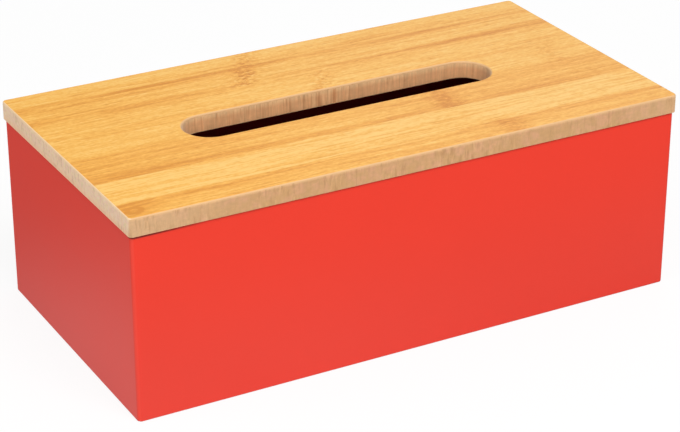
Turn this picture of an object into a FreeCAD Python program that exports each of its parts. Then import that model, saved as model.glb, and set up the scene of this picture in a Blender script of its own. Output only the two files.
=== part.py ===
"""Lift-off-lid tissue box: a painted fibreboard carcass under a bamboo-faced lid with one long slot.

The carcass is four mitred walls round a base panel that sits in a rebate along their lower inside edge.
The lid is a fibreboard sheet with a bamboo veneer pressed on it. Both layers are routed in one go, so
they share one outline, one slot and one sanded arris. Two battens glued under the lid's short ends drop
inside the carcass and keep the lid from sliding.

Frame: millimetres, +X along the length, +Z up, origin at the middle of the footprint, on the table.
"""

import FreeCAD
import Part
import Sketcher

import math
import os

# Driving dimensions: alias, millimetres, what it measures.
DIMENSIONS = [
    ("box_length", 248.5, "carcass, outside, along X"),
    ("box_width", 128.5, "carcass, outside, along Y"),
    ("wall_height", 80.0, "table to the rim that the lid rests on"),
    ("wall_thickness", 6.0, "fibreboard of the four walls"),
    ("corner_radius", 1.8, "sanded upright corners of the carcass"),
    ("rim_round", 1.3, "outer edge of the rim, under the lid's overhang"),
    ("rim_ease", 0.5, "inner edge of the rim"),
    ("foot_round", 0.6, "outer edge along the table"),
    ("base_thickness", 4.0, "base panel, and the height of its rebate"),
    ("rebate_depth", 3.0, "how far the base panel reaches into each wall"),
    ("base_clearance", 0.1, "glue gap round the base panel"),
    ("lid_overhang", 0.75, "lid beyond the carcass on every side"),
    ("board_thickness", 7.4, "fibreboard of the lid"),
    ("veneer_thickness", 0.6, "bamboo layer on the lid"),
    ("lid_corner_radius", 1.8, "upright corners of the lid"),
    ("lid_arris", 0.8, "upper outer edge of the lid, sanded through the veneer"),
    ("lid_ease", 0.2, "lower outer edge of the lid"),
    ("slot_length", 143.4, "slot, from end to end"),
    ("slot_width", 23.4, "slot, across"),
    ("slot_arris", 1.1, "upper rim of the slot, rounded over through the veneer"),
    ("slot_ease", 0.5, "lower rim of the slot"),
    ("trim_allowance", 5.0, "raw sheets beyond the finished lid, before it is routed"),
    ("batten_width", 12.0, "battens, along X"),
    ("batten_height", 6.0, "battens, down from the lid"),
    ("batten_clearance", 0.75, "battens to the walls round them"),
    ("batten_chamfer", 1.0, "lead-in along the battens' lower edges"),
]

# Sizes that several pieces share, as expressions on the sheet.
LID_LENGTH = "(size.box_length + 2 * size.lid_overhang)"
LID_WIDTH = "(size.box_width + 2 * size.lid_overhang)"
LID_THICKNESS = "(size.board_thickness + size.veneer_thickness)"
INNER_LENGTH = "(size.box_length - 2 * size.wall_thickness)"
INNER_WIDTH = "(size.box_width - 2 * size.wall_thickness)"

# Ends and centres of sketch geometry, and the sketch's own origin and vertical axis.
START, END, CENTRE = 1, 2, 3
ORIGIN = (-1, START)
UPRIGHT_AXIS = -2

NEAR = 0.01  # mm, how close an edge lies to a level to count as on it


def dimension_sheet(doc):
    """Spreadsheet named size, with one row for each driving dimension."""
    sheet = doc.addObject("Spreadsheet::Sheet", "size")
    for row, (alias, millimetres, note) in enumerate(DIMENSIONS, start=1):
        sheet.set(f"A{row}", alias)
        sheet.set(f"B{row}", str(millimetres))
        sheet.setAlias(f"B{row}", alias)
        sheet.set(f"C{row}", note)
    doc.recompute()
    return sheet


class Outline:
    """Sketch on the XY plane of its own body, with every dimension bound to the sheet."""

    def __init__(self, body, name):
        self.sketch = body.newObject("Sketcher::SketchObject", name)
        ground = [plane for plane in body.Origin.OriginFeatures if plane.Role == "XY_Plane"]
        self.sketch.AttachmentSupport = (ground[0], [""])
        self.sketch.MapMode = "FlatFace"

    def now(self, expression):
        """Present value of an expression on the sheet."""
        return float(self.sketch.evalExpression(expression))

    def line(self, start, end):
        points = [FreeCAD.Vector(x, y, 0) for x, y in (start, end)]
        return self.sketch.addGeometry(Part.LineSegment(*points))

    def arc(self, centre, radius, first, last):
        """Arc about centre, anticlockwise between two angles in degrees."""
        circle = Part.Circle(FreeCAD.Vector(*centre, 0), FreeCAD.Vector(0, 0, 1), radius)
        return self.sketch.addGeometry(Part.ArcOfCircle(circle, math.radians(first), math.radians(last)))

    def tie(self, kind, *where):
        self.sketch.addConstraint(Sketcher.Constraint(kind, *where))

    def measure(self, name, kind, *where, as_=None):
        """Named dimension that follows the expression as_."""
        index = self.sketch.addConstraint(Sketcher.Constraint(kind, *where, self.now(as_)))
        self.sketch.renameConstraint(index, name)
        self.sketch.setExpression(f"Constraints.{name}", as_)

    def rectangle(self, length, width):
        """Rectangle about the origin."""
        half_x = self.now(length) / 2
        half_y = self.now(width) / 2
        corners = [(-half_x, -half_y), (half_x, -half_y), (half_x, half_y), (-half_x, half_y)]
        south, east, north, west = [self.line(corners[i], corners[(i + 1) % 4]) for i in range(4)]
        for first, second in ((south, east), (east, north), (north, west), (west, south)):
            self.tie("Coincident", first, END, second, START)
        for side in (south, north):
            self.tie("Horizontal", side)
        for side in (east, west):
            self.tie("Vertical", side)
        self.tie("Symmetric", south, START, north, START, *ORIGIN)
        self.measure("length", "DistanceX", south, START, south, END, as_=length)
        self.measure("width", "DistanceY", east, START, east, END, as_=width)

    def rounded_rectangle(self, length, width, radius):
        """Rectangle about the origin with tangent corner arcs."""
        round_ = self.now(radius)
        half_x = self.now(length) / 2
        half_y = self.now(width) / 2
        in_x = half_x - round_
        in_y = half_y - round_
        south = self.line((-in_x, -half_y), (in_x, -half_y))
        east = self.line((half_x, -in_y), (half_x, in_y))
        north = self.line((in_x, half_y), (-in_x, half_y))
        west = self.line((-half_x, in_y), (-half_x, -in_y))
        centres = [(in_x, -in_y), (in_x, in_y), (-in_x, in_y), (-in_x, -in_y)]
        arcs = [self.arc(centre, round_, 90 * i - 90, 90 * i) for i, centre in enumerate(centres)]
        sides = [south, east, north, west]
        for i, corner in enumerate(arcs):
            self.tie("Tangent", sides[i], END, corner, START)
            self.tie("Tangent", corner, END, sides[(i + 1) % 4], START)
        for corner in arcs[1:]:
            self.tie("Equal", arcs[0], corner)
        for side in (south, north):
            self.tie("Horizontal", side)
        for side in (east, west):
            self.tie("Vertical", side)
        self.tie("Symmetric", arcs[1], CENTRE, arcs[3], CENTRE, *ORIGIN)
        self.measure("radius", "Radius", arcs[0], as_=radius)
        self.measure("length", "DistanceX", west, START, east, END, as_=length)
        self.measure("width", "DistanceY", south, END, north, START, as_=width)

    def stadium(self, length, width):
        """Slot about the origin: two straight sides and two half-round ends."""
        radius = self.now(width) / 2
        reach = self.now(length) / 2 - radius
        south = self.line((-reach, -radius), (reach, -radius))
        east = self.arc((reach, 0), radius, -90, 90)
        north = self.line((reach, radius), (-reach, radius))
        west = self.arc((-reach, 0), radius, 90, 270)
        for first, second in ((south, east), (east, north), (north, west), (west, south)):
            self.tie("Tangent", first, END, second, START)
        self.tie("Equal", east, west)
        self.tie("Symmetric", west, CENTRE, east, CENTRE, *ORIGIN)
        self.tie("Horizontal", south)
        self.measure("end_radius", "Radius", east, as_=f"{width} / 2")
        self.measure("centres", "DistanceX", west, CENTRE, east, CENTRE, as_=f"{length} - {width}")

    def mitred_wall(self, run, reach, thickness, radius):
        """Plan of a wall whose outer face runs along X at y = -reach, mitred at both ends.

        Each corner arc belongs half to this wall and half to its neighbour.
        """
        round_ = self.now(radius)
        outer_y = -self.now(reach)
        inner_y = outer_y + self.now(thickness)
        outer_x = self.now(run) / 2 - round_
        inner_x = self.now(run) / 2 - self.now(thickness)
        seam_x = outer_x + round_ * math.sqrt(0.5)
        seam_y = outer_y + round_ * (1 - math.sqrt(0.5))
        outside = self.line((-outer_x, outer_y), (outer_x, outer_y))
        right_round = self.arc((outer_x, outer_y + round_), round_, -90, -45)
        right_mitre = self.line((seam_x, seam_y), (inner_x, inner_y))
        inside = self.line((inner_x, inner_y), (-inner_x, inner_y))
        left_mitre = self.line((-inner_x, inner_y), (-seam_x, seam_y))
        left_round = self.arc((-outer_x, outer_y + round_), round_, -135, -90)
        self.tie("Tangent", outside, END, right_round, START)
        self.tie("Coincident", right_round, END, right_mitre, START)
        self.tie("Coincident", right_mitre, END, inside, START)
        self.tie("Coincident", inside, END, left_mitre, START)
        self.tie("Coincident", left_mitre, END, left_round, START)
        self.tie("Tangent", left_round, END, outside, START)
        self.tie("PointOnObject", right_round, CENTRE, right_mitre)
        self.tie("PointOnObject", left_round, CENTRE, left_mitre)
        self.tie("Equal", right_round, left_round)
        self.tie("Symmetric", outside, START, outside, END, UPRIGHT_AXIS)
        self.tie("Symmetric", inside, START, inside, END, UPRIGHT_AXIS)
        self.measure("radius", "Radius", right_round, as_=radius)
        self.measure("outside", "DistanceX", outside, START, outside, END, as_=f"{run} - 2 * {radius}")
        self.measure("inside", "DistanceX", inside, END, inside, START, as_=f"{run} - 2 * {thickness}")
        self.measure("reach", "DistanceY", outside, START, *ORIGIN, as_=reach)
        self.measure("thickness", "DistanceY", outside, END, inside, START, as_=thickness)

    def rebate(self, run, back):
        """Rectangle from y = -back to the X axis, as long as the wall that it is cut in."""
        half = self.now(run) / 2
        depth = self.now(back)
        corners = [(-half, -depth), (half, -depth), (half, 0), (-half, 0)]
        south, east, north, west = [self.line(corners[i], corners[(i + 1) % 4]) for i in range(4)]
        for first, second in ((south, east), (east, north), (north, west), (west, south)):
            self.tie("Coincident", first, END, second, START)
        self.tie("Vertical", east)
        self.tie("Vertical", west)
        self.tie("Symmetric", south, START, south, END, UPRIGHT_AXIS)
        self.tie("PointOnObject", north, START, -1)
        self.tie("PointOnObject", north, END, -1)
        self.measure("run", "DistanceX", south, START, south, END, as_=run)
        self.measure("back", "DistanceY", south, START, *ORIGIN, as_=back)

    def done(self):
        self.sketch.Document.recompute()
        if not self.sketch.FullyConstrained:
            raise RuntimeError(f"the sketch {self.sketch.Label} is not fully constrained")
        return self.sketch


def new_body(doc, node):
    body = doc.addObject("PartDesign::Body", node)
    body.Label = node
    return body


def pad(body, outline, length):
    feature = body.newObject("PartDesign::Pad", "Pad")
    feature.Profile = outline.done()
    feature.setExpression("Length", length)
    body.Document.recompute()
    return feature


def pocket(body, outline, depth):
    """Cuts upwards from the XY plane, where the sketch lies."""
    before = body.Shape.Volume
    feature = body.newObject("PartDesign::Pocket", "Pocket")
    feature.Profile = outline.done()
    feature.Reversed = True
    feature.setExpression("Length", depth)
    body.Document.recompute()
    if not body.Shape.Volume < before:
        raise RuntimeError(f"a pocket in {body.Label} cut nothing")
    return feature


def dress(body, kind, size_property, size, picked):
    """Fillet or chamfer on the edges of the body's last feature that picked() accepts."""
    last = body.Tip
    names = [f"Edge{i}" for i, edge in enumerate(last.Shape.Edges, start=1) if picked(edge)]
    if not names:
        raise RuntimeError(f"no edge of {body.Label} was picked")
    feature = body.newObject(kind, kind.split("::")[1])
    feature.Base = (last, names)
    feature.setExpression(size_property, size)
    body.Document.recompute()
    return feature


def fillet(body, radius, picked):
    return dress(body, "PartDesign::Fillet", "Radius", radius, picked)


def chamfer(body, size, picked):
    return dress(body, "PartDesign::Chamfer", "Size", size, picked)


def at_level(edge, level):
    """True for an edge that lies flat at this height."""
    box = edge.BoundBox
    return abs(box.ZMin - level) < NEAR and abs(box.ZMax - level) < NEAR


def wall(doc, node, run, reach, turn):
    """One side of the carcass, drawn at the front and turned about Z by so many degrees."""
    body = new_body(doc, node)
    plan = Outline(body, "Plan")
    plan.mitred_wall(run, reach, "size.wall_thickness", "size.corner_radius")
    pad(body, plan, "size.wall_height")

    rebate = Outline(body, "Rebate")
    rebate.rebate(run, f"{reach} - size.wall_thickness + size.rebate_depth")
    pocket(body, rebate, "size.base_thickness")

    top = plan.now("size.wall_height")
    skin = plan.now("size.corner_radius") - plan.now(reach)
    hollow = plan.now("size.wall_thickness") - plan.now(reach)
    fillet(body, "size.rim_round", lambda e: at_level(e, top) and e.CenterOfMass.y < skin)
    fillet(body, "size.rim_ease", lambda e: at_level(e, top) and abs(e.CenterOfMass.y - hollow) < NEAR)
    fillet(body, "size.foot_round", lambda e: at_level(e, 0) and e.CenterOfMass.y < skin)
    body.Placement.Rotation = FreeCAD.Rotation(FreeCAD.Vector(0, 0, 1), turn)
    return body


def base_panel(doc):
    body = new_body(doc, "base_panel")
    reach = "2 * size.rebate_depth - 2 * size.base_clearance"
    plan = Outline(body, "Plan")
    plan.rectangle(f"{INNER_LENGTH} + {reach}", f"{INNER_WIDTH} + {reach}")
    pad(body, plan, "size.base_thickness")
    return body


def routed_lid(doc):
    """Finished form of the whole lid, through both of its layers."""
    body = new_body(doc, "lid_form")
    plan = Outline(body, "Plan")
    plan.rounded_rectangle(LID_LENGTH, LID_WIDTH, "size.lid_corner_radius")
    pad(body, plan, LID_THICKNESS)
    slot = Outline(body, "Slot")
    slot.stadium("size.slot_length", "size.slot_width")
    pocket(body, slot, LID_THICKNESS)

    top = plan.now(LID_THICKNESS)
    slot_end = plan.now("size.slot_length") / 2
    slot_side = plan.now("size.slot_width") / 2

    def in_slot(edge):
        middle = edge.CenterOfMass
        return abs(middle.x) < slot_end + NEAR and abs(middle.y) < slot_side + NEAR

    fillet(body, "size.lid_arris", lambda e: at_level(e, top) and not in_slot(e))
    fillet(body, "size.slot_arris", lambda e: at_level(e, top) and in_slot(e))
    fillet(body, "size.lid_ease", lambda e: at_level(e, 0) and not in_slot(e))
    fillet(body, "size.slot_ease", lambda e: at_level(e, 0) and in_slot(e))
    body.setExpression("Placement.Base.z", "size.wall_height")
    return body


def lid_layer(doc, form, node, underside, thickness):
    """What the router leaves of one raw sheet, which starts as a plain board larger than the lid."""
    sheet = doc.addObject("Part::Box", f"{node}_sheet")
    sheet.setExpression("Length", f"{LID_LENGTH} + 2 * size.trim_allowance")
    sheet.setExpression("Width", f"{LID_WIDTH} + 2 * size.trim_allowance")
    sheet.setExpression("Height", thickness)
    sheet.setExpression("Placement.Base.x", f"-{LID_LENGTH} / 2 - size.trim_allowance")
    sheet.setExpression("Placement.Base.y", f"-{LID_WIDTH} / 2 - size.trim_allowance")
    sheet.setExpression("Placement.Base.z", underside)
    layer = doc.addObject("Part::Common", node)
    layer.Label = node
    layer.Base = form
    layer.Tool = sheet
    return layer


def batten(doc, node, side):
    """Locating strip under one short end of the lid; side is 1 for +X and -1 for -X."""
    body = new_body(doc, node)
    plan = Outline(body, "Plan")
    plan.rectangle("size.batten_width", f"{INNER_WIDTH} - 2 * size.batten_clearance")
    pad(body, plan, "size.batten_height")
    chamfer(body, "size.batten_chamfer", lambda e: at_level(e, 0))
    out = f"({INNER_LENGTH} / 2 - size.batten_clearance - size.batten_width / 2)"
    body.setExpression("Placement.Base.x", f"{side} * {out}")
    body.setExpression("Placement.Base.z", "size.wall_height - size.batten_height")
    return body


def tissue_box(doc):
    """Every piece of the box, in the order of assembly."""
    dimension_sheet(doc)
    long_wall = ("size.box_length", "size.box_width / 2")
    short_wall = ("size.box_width", "size.box_length / 2")
    pieces = [
        wall(doc, "front_wall", *long_wall, turn=0),
        wall(doc, "right_wall", *short_wall, turn=90),
        wall(doc, "back_wall", *long_wall, turn=180),
        wall(doc, "left_wall", *short_wall, turn=270),
        base_panel(doc),
    ]
    form = routed_lid(doc)
    board_top = "size.wall_height + size.board_thickness"
    pieces += [
        lid_layer(doc, form, "lid_board", "size.wall_height", "size.board_thickness"),
        lid_layer(doc, form, "lid_veneer", board_top, "size.veneer_thickness"),
        batten(doc, "lid_batten_left", -1),
        batten(doc, "lid_batten_right", 1),
    ]
    doc.recompute()
    return pieces


def check(doc, pieces):
    """Stops the build where anything failed to compute, since recompute() itself stays silent."""
    for item in doc.Objects:
        if "Invalid" in item.State or "Error" in item.State:
            raise RuntimeError(f"{item.Label}: {item.State}")
    for piece in pieces:
        if piece.Shape.isNull() or not piece.Shape.isValid() or len(piece.Shape.Solids) != 1:
            raise RuntimeError(f"{piece.Label} is not one valid solid")


def main():
    doc = FreeCAD.newDocument("tissue_box")
    pieces = tissue_box(doc)
    check(doc, pieces)
    os.makedirs("parts", exist_ok=True)
    for piece in pieces:
        piece.Shape.exportStep(f"parts/{piece.Label}.step")
        box = piece.Shape.optimalBoundingBox()
        extent = f"{box.XLength:.2f} x {box.YLength:.2f} x {box.ZLength:.2f}"
        print(f"{piece.Label}: {extent} mm, {piece.Shape.Volume / 1000:.2f} cm3")


main()
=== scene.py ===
"""Looks of a lift-off-lid tissue box: satin red paint, bare fibreboard and a bamboo strip veneer."""

import math

import bpy
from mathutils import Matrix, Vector


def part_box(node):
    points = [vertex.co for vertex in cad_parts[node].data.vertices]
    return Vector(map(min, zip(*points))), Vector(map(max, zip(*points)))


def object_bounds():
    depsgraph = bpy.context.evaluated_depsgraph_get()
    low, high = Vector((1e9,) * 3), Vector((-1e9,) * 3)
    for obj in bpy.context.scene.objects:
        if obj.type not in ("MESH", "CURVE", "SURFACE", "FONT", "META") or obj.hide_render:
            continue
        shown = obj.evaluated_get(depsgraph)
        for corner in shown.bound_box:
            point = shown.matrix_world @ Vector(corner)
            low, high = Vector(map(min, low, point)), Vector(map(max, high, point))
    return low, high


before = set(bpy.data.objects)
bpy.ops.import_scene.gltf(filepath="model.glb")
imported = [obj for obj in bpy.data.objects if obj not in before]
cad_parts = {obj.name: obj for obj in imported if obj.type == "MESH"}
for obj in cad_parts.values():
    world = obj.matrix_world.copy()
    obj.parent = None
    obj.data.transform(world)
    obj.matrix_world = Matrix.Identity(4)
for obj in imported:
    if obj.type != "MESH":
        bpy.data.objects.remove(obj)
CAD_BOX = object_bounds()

bl_info = {
    "name": "Tissue Box Looks",
    "version": (1, 0, 0),
    "blender": (4, 5, 0),
    "location": "3D View > Sidebar > Tissue Box",
    "description": "Paints and veneers a lift-off-lid tissue box and lights it on a pale floor",
    "category": "Material",
}

MM = 0.001
CARCASS = ("front_wall", "right_wall", "back_wall", "left_wall", "base_panel")
BARE_BOARD = ("lid_board", "lid_batten_left", "lid_batten_right")


def box_in_mm(node):
    """Lowest and highest corner of a CAD node."""
    return [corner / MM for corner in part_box(node)]


# Places on the object at rest, in millimetres. The shaders below work in millimetres too.
BOARD_LOW, BOARD_HIGH = box_in_mm("lid_board")
VENEER_LOW, VENEER_HIGH = box_in_mm("lid_veneer")
LID_LENGTH = VENEER_HIGH.x - VENEER_LOW.x
INNER_X = -box_in_mm("left_wall")[1].x
INNER_Y = -box_in_mm("front_wall")[1].y
BASE_TOP = box_in_mm("base_panel")[1].z
RIM = box_in_mm("front_wall")[1].z
# The lid's ends and the wall of its slot are softly eased over this depth below the top.
EASED_DEPTH = 3.2

# Bamboo strips from the back edge of the lid to the front. Depth of tone goes from 0, palest, to 1, deepest,
# and places are shares of the lid's length from its left end. Each strip has three groups of four facts, all
# from 0 to 1, because a group is kept in the four numbers of one stop of a ramp:
#   tone, extra depth along the rear side, along the front side, at the left end
#   knuckle's place, its strength, strength of the broad streaks, of the fine lines
#   place where the rear side is deepest, where the front side is, eye's place, its strength
STRIPS = (
    ((0.32, 0.05, 0.40, 0.00), (0.440, 0.60, 0.60, 0.36), (0.90, 0.70, 0.500, 0.00)),
    ((0.41, 1.00, 1.00, 0.12), (0.400, 1.00, 0.80, 0.54), (0.34, 0.82, 0.410, 0.00)),
    ((0.34, 0.15, 0.15, 0.10), (0.510, 0.60, 0.50, 0.34), (0.20, 0.30, 0.510, 0.00)),
    ((0.32, 0.05, 0.42, 0.06), (0.920, 0.35, 0.42, 0.32), (0.50, 0.10, 0.920, 0.00)),
    ((0.57, 0.20, 0.60, 0.12), (0.650, 1.00, 0.75, 0.35), (0.90, 0.12, 0.650, 0.00)),
    ((0.20, 0.00, 0.05, 0.00), (0.500, 0.00, 0.30, 0.98), (0.50, 0.50, 0.500, 0.00)),
    ((0.60, 0.45, 0.25, 0.00), (0.690, 0.65, 0.68, 0.60), (0.03, 0.90, 0.019, 1.00)),
)
# Middles of a strip's rear and front bands and of its eye, across it from its rear side, 0, to its front, 1.
REAR_BAND = 0.09
FRONT_BAND = 0.88
EYE_ACROSS = 0.34

# Softboxes: azimuth and elevation seen from the box, in degrees, then distance and side, in metres.
SOFTBOXES = {
    "key": (0.0, 52.0, 1.50, 0.90),
    "rear": (145.0, 40.0, 0.80, 0.50),
    "fill": (-85.0, 40.0, 1.20, 0.90),
}
# The floor lies just under the box, so that their faces never share a plane.
FLOOR_SIZE = 6.0
FLOOR_GAP = 0.05 * MM
BLACK = (0.0, 0.0, 0.0)
WHITE = (1.0, 1.0, 1.0)


class BambooLook(bpy.types.PropertyGroup):
    """Bamboo veneer."""

    pale: bpy.props.FloatVectorProperty(
        name="Pale", description="Palest bamboo",
        subtype="COLOR", default=(0.92, 0.566, 0.163))
    honey: bpy.props.FloatVectorProperty(
        name="Honey", description="Middling bamboo",
        subtype="COLOR", default=(0.90, 0.482, 0.095))
    amber: bpy.props.FloatVectorProperty(
        name="Amber", description="Deep bamboo",
        subtype="COLOR", default=(0.83, 0.387, 0.061))
    umber: bpy.props.FloatVectorProperty(
        name="Umber", description="Darkest streaks",
        subtype="COLOR", default=(0.69, 0.272, 0.030))
    scar: bpy.props.FloatVectorProperty(
        name="Scar", description="Thin lines of the knuckles",
        subtype="COLOR", default=(0.60, 0.20, 0.022))
    # Painted sheen: whitish light added towards the right end.
    right_sheen: bpy.props.FloatVectorProperty(
        name="Bleach", description="Light added towards the right end",
        subtype="COLOR", default=(0.0, 0.008, 0.026))
    first_joint: bpy.props.FloatProperty(
        name="First joint", description="Back edge to the first joint",
        unit="LENGTH", default=14.0 * MM)
    pitch: bpy.props.FloatProperty(
        name="Strip width", description="Joint to joint",
        unit="LENGTH", default=20.6 * MM)


class BoardLook(bpy.types.PropertyGroup):
    """Bare fibreboard."""

    core: bpy.props.FloatVectorProperty(
        name="Core", description="Routed long edges",
        subtype="COLOR", default=(0.64, 0.362, 0.166))
    blush: bpy.props.FloatVectorProperty(
        name="Blush", description="Pinkish fibre patches",
        subtype="COLOR", default=(0.69, 0.372, 0.192))
    shade: bpy.props.FloatVectorProperty(
        name="Shade", description="Duller tan patches",
        subtype="COLOR", default=(0.62, 0.352, 0.152))
    corner: bpy.props.FloatVectorProperty(
        name="Corner", description="Paler board towards the corners",
        subtype="COLOR", default=(0.70, 0.44, 0.235))
    sawn_end: bpy.props.FloatVectorProperty(
        name="Sawn end", description="Paler short ends",
        subtype="COLOR", default=(1.00, 0.735, 0.455))
    sawn_pink: bpy.props.FloatVectorProperty(
        name="Sawn pink", description="Pinkish spots of the short ends",
        subtype="COLOR", default=(1.00, 0.67, 0.49))
    sawn_shade: bpy.props.FloatVectorProperty(
        name="Sawn shade", description="Duller spots of the short ends",
        subtype="COLOR", default=(0.93, 0.715, 0.40))
    # Painted reflection: red light from the paint below warms the foot of the short ends.
    sawn_low: bpy.props.FloatVectorProperty(
        name="Sawn low", description="Warmer foot of the short ends",
        subtype="COLOR", default=(1.00, 0.61, 0.34))
    slot: bpy.props.FloatVectorProperty(
        name="Slot", description="Warmer wall of the slot",
        subtype="COLOR", default=(0.79, 0.402, 0.180))
    burn: bpy.props.FloatVectorProperty(
        name="Burn", description="Darker cutter marks",
        subtype="COLOR", default=(0.46, 0.225, 0.085))
    scorch: bpy.props.FloatVectorProperty(
        name="Scorch", description="Redder cutter marks of the slot",
        subtype="COLOR", default=(0.55, 0.20, 0.065))
    rim: bpy.props.FloatVectorProperty(
        name="Rim", description="Sanded arrises of the lid",
        subtype="COLOR", default=(0.80, 0.49, 0.24))


class PaintLook(bpy.types.PropertyGroup):
    """Satin paint."""

    colour: bpy.props.FloatVectorProperty(
        name="Colour", description="Paint",
        subtype="COLOR", default=(0.97, 0.045, 0.0195))
    # Painted sheen: paler, duller paint towards the foot, in place of the floor's reflection.
    foot_sheen: bpy.props.FloatVectorProperty(
        name="Bloom", description="Paler, duller paint towards the foot",
        subtype="COLOR", default=(0.92, 0.054, 0.031))
    # Painted highlight: paler paint along the rounded corners, where the faces catch the light.
    corner_highlight: bpy.props.FloatVectorProperty(
        name="Rubbed", description="Paint polished along the corners",
        subtype="COLOR", default=(1.00, 0.066, 0.038))
    # Painted shade: the deep colour the inner faces take further down inside the box.
    inside: bpy.props.FloatVectorProperty(
        name="Inside", description="Thin coat low down on the inside",
        subtype="COLOR", default=(0.28, 0.032, 0.026))
    # Painted shadow: the dark line under the lid, deepest near its front left corner.
    joint: bpy.props.FloatVectorProperty(
        name="Joint", description="Dark line under the lid",
        subtype="COLOR", default=(0.12, 0.012, 0.006))
    roughness: bpy.props.FloatProperty(
        name="Roughness", description="From gloss at 0 to matt at 1",
        subtype="FACTOR", min=0, max=1, default=0.42)


class StageLook(bpy.types.PropertyGroup):
    """Camera, floor and light."""

    azimuth: bpy.props.FloatProperty(
        name="Azimuth", description="Camera round the box, 0 in front of it",
        subtype="ANGLE", default=math.radians(-28.74))
    elevation: bpy.props.FloatProperty(
        name="Elevation", description="Camera above the floor",
        subtype="ANGLE", default=math.radians(25.64))
    distance: bpy.props.FloatProperty(
        name="Distance", description="Camera to its target",
        unit="LENGTH", default=0.9653)
    target: bpy.props.FloatVectorProperty(
        name="Target", description="Point in the middle of the view",
        subtype="XYZ", unit="LENGTH", default=(-0.0022, -0.0036, 0.0352))
    lens: bpy.props.FloatProperty(
        name="Lens", description="Focal length",
        unit="CAMERA", default=120.3)
    floor: bpy.props.FloatVectorProperty(
        name="Floor", description="Floor as the box sees it",
        subtype="COLOR", default=(0.62, 0.62, 0.62))
    key: bpy.props.FloatProperty(
        name="Key", description="Power of the softbox in front",
        unit="POWER", default=16.9)
    rear: bpy.props.FloatProperty(
        name="Rear", description="Power of the softbox behind the right end",
        unit="POWER", default=0.88)
    fill: bpy.props.FloatProperty(
        name="Fill", description="Power of the softbox at the left",
        unit="POWER", default=3.96)
    ambient: bpy.props.FloatProperty(
        name="Ambient", description="Strength of the room's own light",
        default=0.28)


class Signal:
    """Output of a shader node. Arithmetic on signals and numbers adds the Math nodes for it."""

    def __init__(self, graph, socket):
        self.graph = graph
        self.socket = socket

    def out(self, name):
        """Another output of the same node."""
        return Signal(self.graph, self.socket.node.outputs[name])

    def __add__(self, other):
        return self.graph.maths("ADD", self, other)

    __radd__ = __add__

    def __sub__(self, other):
        return self.graph.maths("SUBTRACT", self, other)

    def __rsub__(self, other):
        return self.graph.maths("SUBTRACT", other, self)

    def __mul__(self, other):
        return self.graph.maths("MULTIPLY", self, other)

    __rmul__ = __mul__

    def __truediv__(self, other):
        return self.graph.maths("DIVIDE", self, other)

    def __rtruediv__(self, other):
        return self.graph.maths("DIVIDE", other, self)

    def __abs__(self):
        return self.graph.maths("ABSOLUTE", self)


def opaque(colour):
    """Colour with an alpha of 1, as sockets and stops take it."""
    return (*colour[:3], 1.0)


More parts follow.
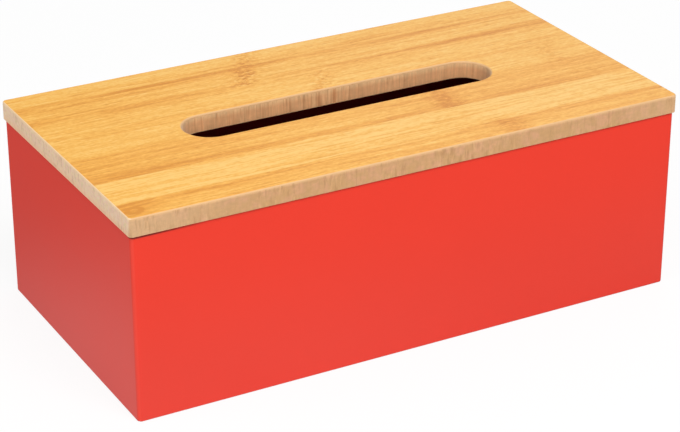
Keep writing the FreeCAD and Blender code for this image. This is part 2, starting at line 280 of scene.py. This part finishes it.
class Graph:
    """Node tree of a new material or world."""

    def __init__(self, finish):
        self.finish = finish
        finish.use_nodes = True
        self.tree = finish.node_tree
        self.tree.nodes.clear()

    def node(self, kind, settings=None, inputs=None, output=0):
        """Adds a node, makes its settings, then gives its sockets their values or links."""
        node = self.tree.nodes.new(kind)
        for name, setting in (settings or {}).items():
            if name == "stops":
                self.set_stops(node.color_ramp, setting)
            elif name == "interpolation":
                node.color_ramp.interpolation = setting
            else:
                setattr(node, name, setting)
        for name, given in (inputs or {}).items():
            if isinstance(given, Signal):
                self.tree.links.new(given.socket, node.inputs[name])
            else:
                node.inputs[name].default_value = given
        return Signal(self, node.outputs[output]) if len(node.outputs) else node

    @staticmethod
    def set_stops(ramp, stops):
        while len(ramp.elements) < len(stops):
            ramp.elements.new(1.0)
        for element, (position, colour) in zip(ramp.elements, stops):
            element.position = position
            element.color = colour if len(colour) == 4 else opaque(colour)

    def maths(self, operation, *terms):
        """Result of one Math node."""
        return self.node("ShaderNodeMath", {"operation": operation}, dict(enumerate(terms)))

    def largest(self, *signals):
        """Highest of several signals or numbers."""
        most, *others = signals
        for signal in others:
            most = self.maths("MAXIMUM", most, signal)
        return most

    def radius(self, across, along):
        """Distance from where both signals are 0."""
        return self.maths("SQRT", across * across + along * along)

    def smooth(self, signal, start, end):
        """Rises smoothly from 0 to 1 as the signal goes from start to end."""
        limits = {"Value": signal, "From Min": start, "From Max": end}
        return self.node("ShaderNodeMapRange", {"interpolation_type": "SMOOTHSTEP"}, limits)

    def bell(self, signal, width):
        """1 where the signal is 0, falling to about a third at plus or minus width."""
        share = signal / width
        return self.maths("EXPONENT", share * share * -1)

    def noise(self, x, y, z, detail=2.0, roughness=0.5):
        """Cloudy noise about 0.5 whose grain is one unit of each signal."""
        where = self.node("ShaderNodeCombineXYZ", inputs={0: x, 1: y, 2: z})
        shape = {"Vector": where, "Scale": 1.0, "Detail": detail, "Roughness": roughness}
        return self.node("ShaderNodeTexNoise", inputs=shape)

    def position(self):
        """Place on the object at rest, in millimetres, as three signals."""
        place = self.scale(self.node("ShaderNodeTexCoord", output="Object"), 1 / MM)
        x = self.node("ShaderNodeSeparateXYZ", inputs={0: place})
        return x, x.out("Y"), x.out("Z")

    def facing(self):
        """Direction that the surface faces, as three signals."""
        normal = self.node("ShaderNodeTexCoord", output="Normal")
        x = self.node("ShaderNodeSeparateXYZ", inputs={0: normal})
        return x, x.out("Y"), x.out("Z")

    def mix(self, low, high, share):
        """Colour between two colours."""
        low, high = (c if isinstance(c, Signal) else opaque(c) for c in (low, high))
        return self.node("ShaderNodeMix", {"data_type": "RGBA"}, {0: share, 6: low, 7: high}, output=2)

    def ramp(self, signal, stops, interpolation="LINEAR"):
        """Colour of a ramp whose stops are places and colours."""
        settings = {"stops": stops, "interpolation": interpolation}
        return self.node("ShaderNodeValToRGB", settings, {0: signal})

    def scale(self, colour, amount):
        """Colour or vector times a number or a signal."""
        return self.node("ShaderNodeVectorMath", {"operation": "SCALE"}, {0: colour, "Scale": amount})

    def surface(self, colour, roughness, height, relief, constants):
        """Principled surface with a bump whose height is the signal times relief, in metres."""
        shape = {"Strength": 1.0, "Distance": relief, "Height": height}
        bump = self.node("ShaderNodeBump", inputs=shape)
        sockets = {"Base Color": colour, "Roughness": roughness, "Normal": bump, **constants}
        return self.output("Material", self.node("ShaderNodeBsdfPrincipled", inputs=sockets))

    def output(self, kind, shader):
        """Ends the tree with this shader, and returns the finished material or world."""
        self.node("ShaderNodeOutput" + kind, inputs={"Surface": shader})
        return self.finish


def strip_facts(graph, strip, group):
    """One group of the facts of the strip with this number, as four signals."""
    stops = [(i / len(STRIPS), groups[group]) for i, groups in enumerate(STRIPS)]
    facts = graph.ramp((strip + 0.5) / len(STRIPS), stops, "CONSTANT")
    first = graph.node("ShaderNodeSeparateColor", inputs={0: facts})
    return first, first.out("Green"), first.out("Blue"), facts.out("Alpha")


def side_band(graph, across, from_peak, worn):
    """Deeper band near a side of a strip, deepest of all at its peak."""
    return graph.bell(across, 0.10) * (worn + graph.bell(from_peak, 40.0) * 0.6)


def knuckle(graph, x, y, strip, inside, away, strength):
    """Depth of an amber patch, and the thin, broken, wandering scars in it."""
    # The three rear strips have slanting knuckles, paler, blotchier and more scarred, and the next strip has
    # one between the two kinds.
    rear = graph.smooth(strip, 3.5, 2.5)
    slant = (inside - 0.5) * rear * 8.0
    lean = (graph.noise(y / 4.0, strip * 4.1, 0.5, detail=3.0) - 0.5) * 12.0 + slant
    patch = graph.bell(away + lean, 5.5) * strength
    blotches = (graph.noise(x / 2.6, y / 2.0, strip * 4.9) - 0.5) * (2.5 + rear * 3.0)
    wander = graph.noise((x + lean) / 4.5, y / 2.2, strip * 9.1)
    broken = graph.smooth(graph.noise(x / 2.2, y / 1.4, strip * 1.1), 0.40, 0.54)
    near = graph.bell(away + lean * 0.7, 5.5) * strength * (0.5 + rear * 0.5)
    scar = graph.bell(wander - 0.5, 0.04) * broken * near
    return patch * (0.75 - rear * 0.33 + blotches), scar


def eye(graph, across, along):
    """Depth of a small curl in the fibres, ringed in amber."""
    radius = graph.radius(along / 3.0, across / 2.4)
    return graph.bell(radius - 1.0, 0.30) * 1.15 + graph.bell(radius, 3.0) * 0.36


def bamboo(look, board):
    """Long bamboo strips, edge to edge, each with its own tone, fibres and knuckle."""
    graph = Graph(bpy.data.materials.new("bamboo_veneer"))
    x, y, _ = graph.position()
    pitch = look.pitch / MM
    # Strip number from 0 at the back, and place across the strip, from 0 at its rear side to 1.
    across = (VENEER_HIGH.y - look.first_joint / MM + pitch - y) / pitch
    strip = graph.maths("FLOOR", across)
    inside = across - strip
    along = x - VENEER_LOW.x
    tone, rear_depth, front_depth, left_depth = strip_facts(graph, strip, 0)
    knuckle_place, strength, streaky, liny = strip_facts(graph, strip, 1)
    rear_place, front_place, eye_place, eye_strength = strip_facts(graph, strip, 2)
    away = along - knuckle_place * LID_LENGTH

    # Fibres drift gently along a strip and bend round its knuckle. What x and y are divided by is the length
    # and the width of the grain, in millimetres.
    drift = (graph.noise(x / 45.0, y / 9.0, strip * 3.3, detail=1.0) - 0.5) * 4.0
    bent = graph.bell(away, 14.0) * strength
    bend = (graph.noise(x / 7.0, y / 4.0, strip * 6.1) - 0.5) * bent * 8.0
    fibre = y + drift + bend
    broad = graph.noise(x / 95.0, fibre / 4.2, strip * 3.7) - 0.5
    streak = graph.noise(x / 48.0, fibre / 1.7, strip * 5.3) - 0.5
    dark_streak = graph.smooth(streak, 0.02, 0.22)
    fine = graph.noise(x / 24.0, fibre / 0.85, strip * 5.1) - 0.5
    hair = graph.noise(x / 7.0, fibre / 0.35, strip * 1.7, detail=1.0) - 0.5
    cluster = graph.smooth(graph.noise(x / 22.0, y / 7.0, strip * 2.3), 0.42, 0.62)
    dash = graph.smooth(graph.noise(x / 4.5, fibre / 0.9, strip * 7.7), 0.52, 0.72) * cluster
    mottle = graph.noise(x / 3.0, y / 1.1, strip * 2.9) - 0.5
    fleck = graph.noise(x / 1.4, y / 0.9, strip * 5.7, detail=0.0) - 0.5

    worn = 0.50 + (graph.noise(x / 30.0, y / 40.0, strip * 8.9) - 0.5) * 1.1 + streak * 0.8
    rear_band = side_band(graph, inside - REAR_BAND, along - rear_place * LID_LENGTH, worn)
    front_band = side_band(graph, inside - FRONT_BAND, along - front_place * LID_LENGTH, worn)
    knot, scar = knuckle(graph, x, y, strip, inside, away, strength)
    curl_y = (inside - EYE_ACROSS) * pitch + mottle * 1.44
    curl_x = along - eye_place * LID_LENGTH + mottle * 1.8
    curl = eye(graph, curl_y, curl_x) * eye_strength
    seam = 1 - graph.smooth(graph.maths("MINIMUM", inside, 1 - inside) * pitch, 0.05, 0.25)

    depth = (
        tone
        + rear_depth * rear_band
        + front_depth * front_band
        + left_depth * graph.smooth(x, 0.0, -90.0)
        + streaky * (dark_streak * 0.40 + broad * 1.5)
        + liny * (fine + streak) * 1.4
        + dash * 0.36
        + (mottle + hair) * 0.92
        + fleck * 0.54
        + knot
        + curl * 1.5
        + seam * 0.12
    )
    tones = [(0.0, look.pale), (0.24, look.honey), (0.50, look.amber), (1.0, look.umber)]
    colour = graph.ramp(depth * 0.6, tones)
    colour = graph.mix(colour, look.scar, scar * 0.75)
    # Painted sheen: the colour pales towards the right end.
    lightened = graph.node("ShaderNodeVectorMath", {"operation": "ADD"}, {0: colour, 1: look.right_sheen})
    colour = graph.mix(colour, lightened, graph.smooth(x, -110.0, 90.0))
    colour = graph.scale(colour, 1.0 - fine * 0.08 - hair * 0.08 - dash * 0.04 - mottle * 0.06)

    # The sanded arris has the board's colours.
    towards_x, _, up = graph.facing()
    at_end = graph.smooth(abs(x), VENEER_HIGH.x - 3.0, VENEER_HIGH.x - 1.5)
    end = graph.smooth(abs(towards_x), 0.25, 0.6) * at_end
    arris = graph.mix(board.rim, board.sawn_end, end * 0.8)
    colour = graph.mix(arris, colour, graph.smooth(up, 0.80, 0.99))
    roughness = 0.50 + fine * 0.12 + scar * 0.1
    height = fine * 0.6 + hair * 0.5 + mottle * 0.3 - scar * 0.8 - seam * 0.8
    return graph.surface(colour, roughness, height, 0.03 * MM, {"Specular IOR Level": 0.22})


def board_colour(graph, look, x, y, z, in_slot, end):
    """Clouds of fibre: warmer in the slot, paler towards the corners, palest on the sawn short ends."""
    clouds = graph.noise(x / 4.5, y / 4.5, z / 3.5, detail=3.0)
    colour = graph.ramp(clouds, [(0.38, look.blush), (0.50, look.core), (0.62, look.shade)])
    colour = graph.mix(colour, look.slot, in_slot * 0.85)
    spots = [(0.36, look.sawn_end), (0.50, look.sawn_pink), (0.64, look.sawn_shade)]
    sawn = graph.ramp(graph.noise(x / 2.4, y / 2.4, z / 2.4), spots)
    colour = graph.mix(colour, sawn, end)
    # Painted reflection of the red paint below: the short ends grow warmer towards their foot.
    low = graph.smooth(z, BOARD_HIGH.z - 4.0, BOARD_LOW.z + 0.5)
    colour = graph.mix(colour, look.sawn_low, end * low * 0.8)
    by_left = graph.smooth(x, BOARD_LOW.x + 60.0, BOARD_LOW.x + 1.0)
    by_right = graph.smooth(x, BOARD_HIGH.x - 35.0, BOARD_HIGH.x - 1.0)
    return graph.mix(colour, look.corner, (by_left + by_right * 0.5) * (1 - end) * 0.8)


def sanded_and_lit_rims(graph, z, up, in_slot):
    """Share by which sanding has paled the upper arris, and by which both rims of the slot's wall are paler;
    near its top rim this is painted light, the wall there being less shaded.
    """
    top, foot = BOARD_HIGH.z, BOARD_LOW.z
    arris = graph.smooth(z, top - 1.0, top - 0.1) * graph.smooth(abs(up), 1.0, 0.9)
    upper_rim = graph.smooth(z, top - 3.0, top - 0.4)
    lower_rim = graph.smooth(z, foot + 1.0, foot + 0.3)
    return graph.largest(arris * 0.8, graph.largest(upper_rim, lower_rim * 0.4) * in_slot)


def fibreboard(look):
    """Bare fibreboard: upright cutter marks on its routed edges and a fine felt of fibres all over."""
    graph = Graph(bpy.data.materials.new("bare_fibreboard"))
    x, y, z = graph.position()
    towards_x, _, up = graph.facing()
    edge = 1 - abs(up)
    at_end = graph.smooth(abs(x), BOARD_HIGH.x - 3.0, BOARD_HIGH.x - 1.5)
    end = graph.smooth(abs(towards_x), 0.6, 0.95) * at_end
    # The slot's wall is what stands upright near the middle.
    in_slot = graph.smooth(abs(y), 20.0, 15.0) * edge * (1 - end)
    routed = edge * (1 - end * 0.5) * (1 + in_slot * 0.9)

    # Cutter marks run up and down, in clusters, some dark and some pale. They are longer in the slot.
    long = 4.0 + in_slot * 6.0
    wide = 1.2 - in_slot * 0.4
    marks = graph.noise(x / 0.8, y / 0.8, z / long) - 0.5
    dark = graph.smooth(graph.noise(x / wide, y / wide, z / (long * 1.5)), 0.48, 0.70)
    pale = graph.smooth(graph.noise(x + 40.0, y, z / (long * 1.3)), 0.50, 0.72)
    cluster = graph.smooth(graph.noise(x / 12.0, y / 12.0, 0.5, detail=1.0), 0.38, 0.62)
    waves = graph.noise(x / 4.0, y / 4.0, z / 25.0, detail=1.0) - 0.5
    felt = graph.noise(x / 0.4, y / 0.4, z / 0.4, detail=3.0, roughness=0.7) - 0.5
    flocks = graph.noise(x / 1.8, y / 1.8, z / 1.2) - 0.5

    colour = board_colour(graph, look, x, y, z, in_slot, end)
    # The upper arris is paled by sanding; the slot's wall is painted paler near its top rim, where less
    # shade falls.
    rims = graph.mix(look.rim, look.sawn_end, end)
    colour = graph.mix(colour, rims, sanded_and_lit_rims(graph, z, up, in_slot))
    burn = graph.mix(look.burn, look.scorch, in_slot)
    burnt = dark * (0.10 + cluster * (0.40 + end * 0.25 - in_slot * 0.16)) * routed
    colour = graph.mix(colour, burn, burnt)
    lightened = pale * (cluster + in_slot * 0.35) * edge * (0.5 - in_slot * 0.1)
    colour = graph.mix(colour, look.rim, lightened)
    # Painted shade: the slot's wall darkens towards its foot.
    low = graph.smooth(z, BOARD_LOW.z + 3.0, BOARD_LOW.z)
    light = (
        1.04
        + marks * (0.15 + in_slot * 0.10) * routed
        + waves * (0.12 + in_slot * 0.06) * routed
        + pale * (cluster + 0.35) * in_slot * 0.10
        + felt * (0.12 + end * 0.10)
        + flocks * (0.20 + end * 0.28)
        - in_slot * low * 0.10
    )
    colour = graph.scale(colour, light)

    eased = graph.largest(z - (BOARD_HIGH.z - EASED_DEPTH), 0.0) / EASED_DEPTH
    height = (marks - dark * 0.5) * edge + felt * 0.6 - eased * eased * (end * 4.0 + in_slot * 5.0)
    fuzz = {
        "Specular IOR Level": 0.2,
        "Sheen Weight": 0.8,
        "Sheen Roughness": 0.5,
        "Sheen Tint": opaque((1.0, 0.8, 0.6)),
    }
    return graph.surface(colour, 0.85 + felt * 0.1, height, 0.06 * MM, fuzz)


def paint(look):
    """Sprayed satin paint over sanded fibreboard, with a faint orange peel, and painted light and shade: a
    sheen towards the foot, a highlight along the corners, a shadow line under the lid and shade deepening
    inside the box.
    """
    graph = Graph(bpy.data.materials.new("satin_red_paint"))
    x, y, z = graph.position()
    towards_x, towards_y, up = graph.facing()
    peel = graph.noise(x / 1.4, y / 1.4, z / 1.4) - 0.5
    fine = graph.noise(x / 0.4, y / 0.4, z / 0.4, detail=1.0) - 0.5
    clouds = graph.noise(x / 30.0, y / 30.0, z / 30.0, detail=3.0) - 0.5
    specks = graph.noise(x / 4.0, y / 4.0, z / 4.0, detail=3.0) - 0.5

    inside = graph.smooth(graph.largest(abs(x) - INNER_X, abs(y) - INNER_Y), 0.6, 0.1)
    inside = inside * graph.smooth(z, BASE_TOP - 0.8, BASE_TOP - 0.2)
    # Painted shade inside the box: the inner faces take the inside colour, more so further down from the
    # rim.
    thin = inside * graph.smooth(z + fine * 8.0, RIM, RIM - 30.0)
    flat = graph.largest(abs(towards_x), abs(towards_y), abs(up))
    # Painted highlight along the rounded corners, where the faces turn.
    corner_highlight = graph.smooth(flat, 0.98, 0.85) * (1 - inside)
    # Painted shadow under the lid: the rounded rim just below it darkens, mostly near the front left corner.
    joint = graph.smooth(z, RIM - 1.3, RIM - 0.8) * graph.smooth(up, 0.72, 0.50) * (1 - inside)
    on_front = graph.smooth(y, -INNER_Y, -INNER_Y - 4.0)
    by_corner = graph.smooth(x, BOARD_LOW.x + 35.0, BOARD_LOW.x + 7.0) * on_front

    # Painted sheen, growing towards the foot.
    colour = graph.mix(look.colour, look.foot_sheen, graph.smooth(z, 75.0, 0.0))
    colour = graph.mix(colour, look.corner_highlight, corner_highlight * 0.8)
    colour = graph.mix(colour, look.joint, joint * by_corner * 0.82)
    colour = graph.mix(colour, look.inside, thin)
    colour = graph.scale(colour, 1.0 + clouds * 0.03 + specks * 0.010 + fine * 0.03)
    roughness = look.roughness + clouds * 0.04 + specks * 0.015 + thin * 0.25
    return graph.surface(colour, roughness, peel + fine * 0.3, 0.008 * MM, {"Specular IOR Level": 0.40})


def rays(graph):
    """1 for what the camera sees itself, and 1 for what it sees in gloss or through glass."""
    path = graph.node("ShaderNodeLightPath", output="Is Camera Ray")
    return path, graph.largest(path.out("Is Glossy Ray"), path.out("Is Transmission Ray"))


def floor_material(colour):
    """Pale floor that shows to the camera as near white, melts into the room, and keeps a soft shadow."""
    graph = Graph(bpy.data.materials.new("pale_floor"))
    x, y, _ = graph.position()
    # Gloss sees a dimmer floor, but for a brighter pool of it round the front left corner of the box.
    pool = graph.smooth(graph.radius(x + 110.0, y + 50.0), 210.0, 49.5)
    far = graph.smooth(graph.radius(x, y), 350.0, 1000.0)
    seen, mirrored = rays(graph)
    pale = graph.mix(colour, WHITE, seen)
    plain = graph.node("ShaderNodeBsdfDiffuse", inputs={"Color": pale})
    shown = graph.mix(BLACK, WHITE, seen + mirrored * (0.25 + pool * 0.50))
    glow = graph.node("ShaderNodeEmission", inputs={"Color": shown, "Strength": 1.0})
    share = graph.largest(seen * (0.88 + far * 0.12), mirrored)
    both = graph.node("ShaderNodeMixShader", inputs={0: share, 1: plain, 2: glow})
    return graph.output("Material", both)


def white_world(ambient):
    """World that lights at the ambient strength and shows as white."""
    graph = Graph(bpy.data.worlds.new("white_room"))
    dim, white = (
        graph.node("ShaderNodeBackground", inputs={"Color": opaque(WHITE), "Strength": strength})
        for strength in (ambient, 1.0)
    )
    seen, mirrored = rays(graph)
    share = graph.largest(seen, mirrored * 0.30)
    both = graph.node("ShaderNodeMixShader", inputs={0: share, 1: dim, 2: white})
    return graph.output("World", both)


def aim(thing, target):
    """Turns a camera or lamp to look at a point."""
    away = thing.location - target
    thing.rotation_euler = away.to_track_quat("Z", "Y").to_euler()


def direction(azimuth, elevation):
    """Unit vector from the box: azimuth 0 is in front of it, and a quarter turn is at its right."""
    flat = math.cos(elevation)
    return Vector((math.sin(azimuth) * flat, -math.cos(azimuth) * flat, math.sin(elevation)))


def softbox(name, power):
    """Square area lamp aimed at the middle of the box."""
    azimuth, elevation, distance, side = SOFTBOXES[name]
    centre = (CAD_BOX[0] + CAD_BOX[1]) / 2
    place = centre + direction(math.radians(azimuth), math.radians(elevation)) * distance
    bpy.ops.object.light_add(type="AREA", location=place)
    lamp = bpy.context.object
    lamp.name = name + "_softbox"
    lamp.data.shape = "SQUARE"
    lamp.data.size = side
    lamp.data.energy = power
    aim(lamp, centre)


def finish_nodes(names, material):
    """Gives CAD nodes their material."""
    for name in names:
        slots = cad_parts[name].data.materials
        slots.clear()
        slots.append(material)


class TISSUEBOX_OT_paint_carcass(bpy.types.Operator):
    """Sprays the walls and the base with satin paint"""

    bl_idname = "tissue_box.paint_carcass"
    bl_label = "Paint Carcass"

    def execute(self, context):
        finish_nodes(CARCASS, paint(context.scene.tissue_paint))
        return {"FINISHED"}


class TISSUEBOX_OT_finish_board(bpy.types.Operator):
    """Leaves the lid board and its battens as bare fibreboard"""

    bl_idname = "tissue_box.finish_board"
    bl_label = "Finish Board"

    def execute(self, context):
        finish_nodes(BARE_BOARD, fibreboard(context.scene.tissue_board))
        return {"FINISHED"}


class TISSUEBOX_OT_lay_bamboo(bpy.types.Operator):
    """Lays the bamboo strips on the lid"""

    bl_idname = "tissue_box.lay_bamboo"
    bl_label = "Lay Bamboo"

    def execute(self, context):
        scene = context.scene
        finish_nodes(("lid_veneer",), bamboo(scene.tissue_bamboo, scene.tissue_board))
        return {"FINISHED"}


class TISSUEBOX_OT_set_stage(bpy.types.Operator):
    """Sets the floor, the soft light and the camera"""

    bl_idname = "tissue_box.set_stage"
    bl_label = "Set Stage"

    def execute(self, context):
        look = context.scene.tissue_stage
        under = CAD_BOX[0].z - FLOOR_GAP
        bpy.ops.mesh.primitive_plane_add(size=FLOOR_SIZE, location=(0.0, 0.0, under))
        floor = context.object
        floor.name = "floor"
        bpy.ops.object.transform_apply(location=True)
        floor.data.materials.append(floor_material(look.floor))
        context.scene.world = white_world(look.ambient)
        for name in SOFTBOXES:
            softbox(name, getattr(look, name))
        target = Vector(look.target)
        place = target + direction(look.azimuth, look.elevation) * look.distance
        bpy.ops.object.camera_add(location=place)
        camera = context.object
        camera.data.lens = look.lens
        aim(camera, target)
        context.scene.camera = camera
        context.scene.view_settings.view_transform = "Standard"
        return {"FINISHED"}


OPERATORS = (
    TISSUEBOX_OT_paint_carcass,
    TISSUEBOX_OT_finish_board,
    TISSUEBOX_OT_lay_bamboo,
    TISSUEBOX_OT_set_stage,
)
LOOKS = {
    "tissue_paint": PaintLook,
    "tissue_board": BoardLook,
    "tissue_bamboo": BambooLook,
    "tissue_stage": StageLook,
}


class TISSUEBOX_PT_panel(bpy.types.Panel):
    """Lists the steps in their order, then the looks"""

    bl_label = "Tissue Box"
    bl_idname = "TISSUEBOX_PT_panel"
    bl_space_type = "VIEW_3D"
    bl_region_type = "UI"
    bl_category = "Tissue Box"

    def draw(self, context):
        for step in OPERATORS:
            self.layout.operator(step.bl_idname)
        for group, look in LOOKS.items():
            for name in look.__annotations__:
                self.layout.prop(getattr(context.scene, group), name)


CLASSES = (*LOOKS.values(), *OPERATORS, TISSUEBOX_PT_panel)


def register():
    for cls in CLASSES:
        bpy.utils.register_class(cls)
    for group, look in LOOKS.items():
        setattr(bpy.types.Scene, group, bpy.props.PointerProperty(type=look))


def unregister():
    for group in LOOKS:
        delattr(bpy.types.Scene, group)
    for cls in reversed(CLASSES):
        bpy.utils.unregister_class(cls)


def main():
    register()
    bpy.ops.object.select_all(action="DESELECT")
    bpy.ops.tissue_box.paint_carcass()
    bpy.ops.tissue_box.finish_board()
    bpy.ops.tissue_box.lay_bamboo()
    bpy.ops.tissue_box.set_stage()


if __name__ == "__main__":
    main()
